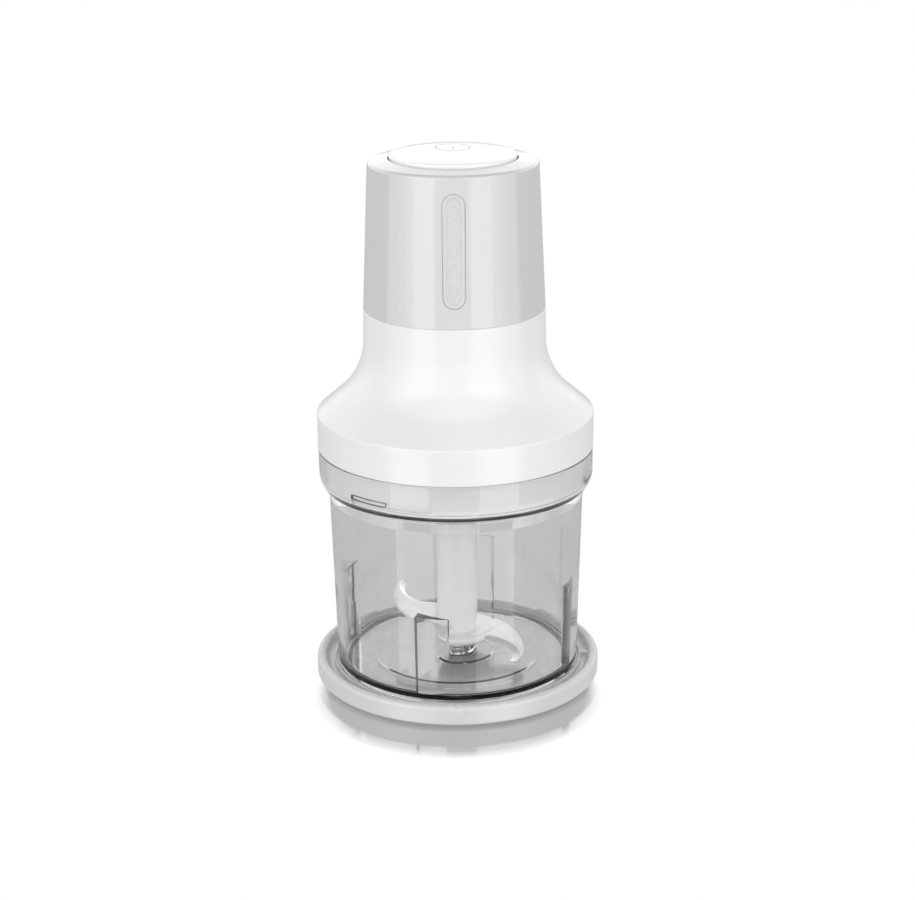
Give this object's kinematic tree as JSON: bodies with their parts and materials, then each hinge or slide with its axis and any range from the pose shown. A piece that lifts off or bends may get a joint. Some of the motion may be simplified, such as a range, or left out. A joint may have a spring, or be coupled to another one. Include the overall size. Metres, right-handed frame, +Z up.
{
  "type": "food processor",
  "caption": "Press-top mini chopper: grey cordless motor head on a white bell, smoky clear bowl with crescent blades, shallow tray.",
  "frame": {"origin": "centre of the tray's underside, on the surface it stands on", "axes": "+Z up along the common axis of tray, bowl and head; -Y is the front, with the pill-shaped plate; +X is to the right seen from the front"},
  "size_m": [0.1256, 0.1256, 0.2361],
  "materials": {
    "white_plastic": "glossy moulded",
    "grey_plastic": "satin moulded",
    "button_plastic": "satin moulded",
    "coupling_plastic": "moulded",
    "icon_print": "printed",
    "smoky_plastic": "clear, tinted, polished",
    "soft_rubber": "matt silicone",
    "grey_rubber": "matt silicone",
    "steel": "turned",
    "blade_steel": "ground and polished",
    "plated_steel": "zinc plated",
    "nickel": "nickel strip",
    "lamination": "laminated",
    "bronze": "sintered, oiled",
    "copper": "enamelled wire",
    "magnet": "ferrite",
    "cell_wrap": "shrink sleeve",
    "black_plastic": "moulded",
    "gear_plastic": "acetal, greased",
    "circuit_board": "solder mask",
    "light_pipe": "clear"
  },
  "bodies": {
    "base": {"base_tray": "white_plastic", "base_grip_ring": "soft_rubber"},
    "bowl": {"bowl": "smoky_plastic", "spindle_pin": "steel"},
    "blade_unit": {"blade_hub": "white_plastic", "hub_bushes": "bronze", "lower_blade": "blade_steel", "upper_blade": "blade_steel"},
    "inner_lid": {"splash_lid": "white_plastic", "lid_gasket": "soft_rubber"},
    "head": {"head_base": "white_plastic", "bell_housing": "white_plastic", "upper_casing": "grey_plastic", "badge_insert": "grey_plastic", "button_spring": "steel", "power_switch": "black_plastic", "control_board": "circuit_board", "board_components": "black_plastic", "board_screws": "steel", "charge_socket": "steel", "charge_light": "light_pipe", "head_frame": "black_plastic", "frame_screws": "steel", "housing_screws": "steel", "battery_cells": "cell_wrap", "battery_tabs": "nickel", "motor_can": "plated_steel", "motor_magnets": "magnet", "motor_end_cap": "black_plastic", "motor_bushes": "bronze", "motor_plate": "plated_steel", "motor_screws": "steel", "gearbox_housing": "gear_plastic", "ring_gear": "gear_plastic", "gearbox_screws": "steel", "output_bush": "bronze", "shaft_seal": "soft_rubber", "interlock_spring": "steel", "interlock_switch": "black_plastic"},
    "button": {"press_button": "button_plastic", "button_icon": "icon_print"},
    "plunger": {"switch_plunger": "button_plastic"},
    "rotor": {"rotor_core": "lamination", "rotor_windings": "copper", "commutator": "copper", "motor_shaft": "steel", "sun_gear": "bronze"},
    "output": {"planet_carrier": "lamination", "planet_pins": "steel", "output_shaft": "steel", "drive_coupling": "coupling_plastic"},
    "planet_1": {"planet_gear_1": "gear_plastic"},
    "planet_2": {"planet_gear_2": "gear_plastic"},
    "planet_3": {"planet_gear_3": "gear_plastic"},
    "interlock": {"interlock_rod": "steel"},
    "port_flap": {"port_cover": "grey_rubber"}
  },
  "joints": [
    {"name": "bowl_lift", "type": "slide", "parent": "base", "child": "bowl", "axis": [0, 0, 1], "range_m": [0, 0.05]},
    {"name": "blade_spin", "type": "hinge", "parent": "bowl", "child": "blade_unit", "pos_m": [0, 0, 0.03], "axis": [0, 0, 1], "continuous": true},
    {"name": "lid_lift", "type": "slide", "parent": "bowl", "child": "inner_lid", "axis": [0, 0, 1], "range_m": [0, 0.17]},
    {"name": "head_twist", "type": "hinge", "parent": "inner_lid", "child": "head", "pos_m": [0, 0, 0.1], "axis": [0, 0, -1], "range_deg": [0, 20]},
    {"name": "button_press", "type": "slide", "parent": "head", "child": "button", "axis": [0, 0, -1], "range_m": [0, 0.003], "stiffness_N_per_m": 400, "springref_m": -0.004, "deforming": ["button_spring"]},
    {"name": "plunger_press", "type": "slide", "parent": "head", "child": "plunger", "axis": [0, 0, -1], "range_m": [0, 0.003]},
    {"name": "output_spin", "type": "hinge", "parent": "head", "child": "output", "pos_m": [0, 0, 0.114], "axis": [0, 0, 1], "continuous": true},
    {"name": "rotor_spin", "type": "hinge", "parent": "head", "child": "rotor", "pos_m": [0, 0, 0.145], "axis": [0, 0, 1], "continuous": true},
    {"name": "planet_1_spin", "type": "hinge", "parent": "output", "child": "planet_1", "pos_m": [0.01125, 0, 0.119], "axis": [0, 0, 1], "continuous": true},
    {"name": "planet_2_spin", "type": "hinge", "parent": "output", "child": "planet_2", "pos_m": [-0.00562, 0.00974, 0.119], "axis": [0, 0, 1], "continuous": true},
    {"name": "planet_3_spin", "type": "hinge", "parent": "output", "child": "planet_3", "pos_m": [-0.00562, -0.00974, 0.119], "axis": [0, 0, 1], "continuous": true},
    {"name": "interlock_rise", "type": "slide", "parent": "head", "child": "interlock", "axis": [0, 0, 1], "range_m": [0, 0.0025], "deforming": ["interlock_spring"]},
    {"name": "port_cover_hinge", "type": "hinge", "parent": "head", "child": "port_flap", "pos_m": [0, 0.0374, 0.21135], "axis": [1, 0, 0], "range_deg": [0, 110]}
  ],
  "couplings": [
    {"joint": "blade_spin", "follows": "output_spin", "ratio": 1},
    {"joint": "rotor_spin", "follows": "output_spin", "ratio": 5},
    {"joint": "planet_1_spin", "follows": "output_spin", "ratio": -2.6667},
    {"joint": "planet_2_spin", "follows": "output_spin", "ratio": -2.6667},
    {"joint": "planet_3_spin", "follows": "output_spin", "ratio": -2.6667},
    {"joint": "plunger_press", "follows": "button_press", "ratio": 1},
    {"joint": "interlock_rise", "follows": "head_twist", "m_per_rad": 0.00716}
  ]
}
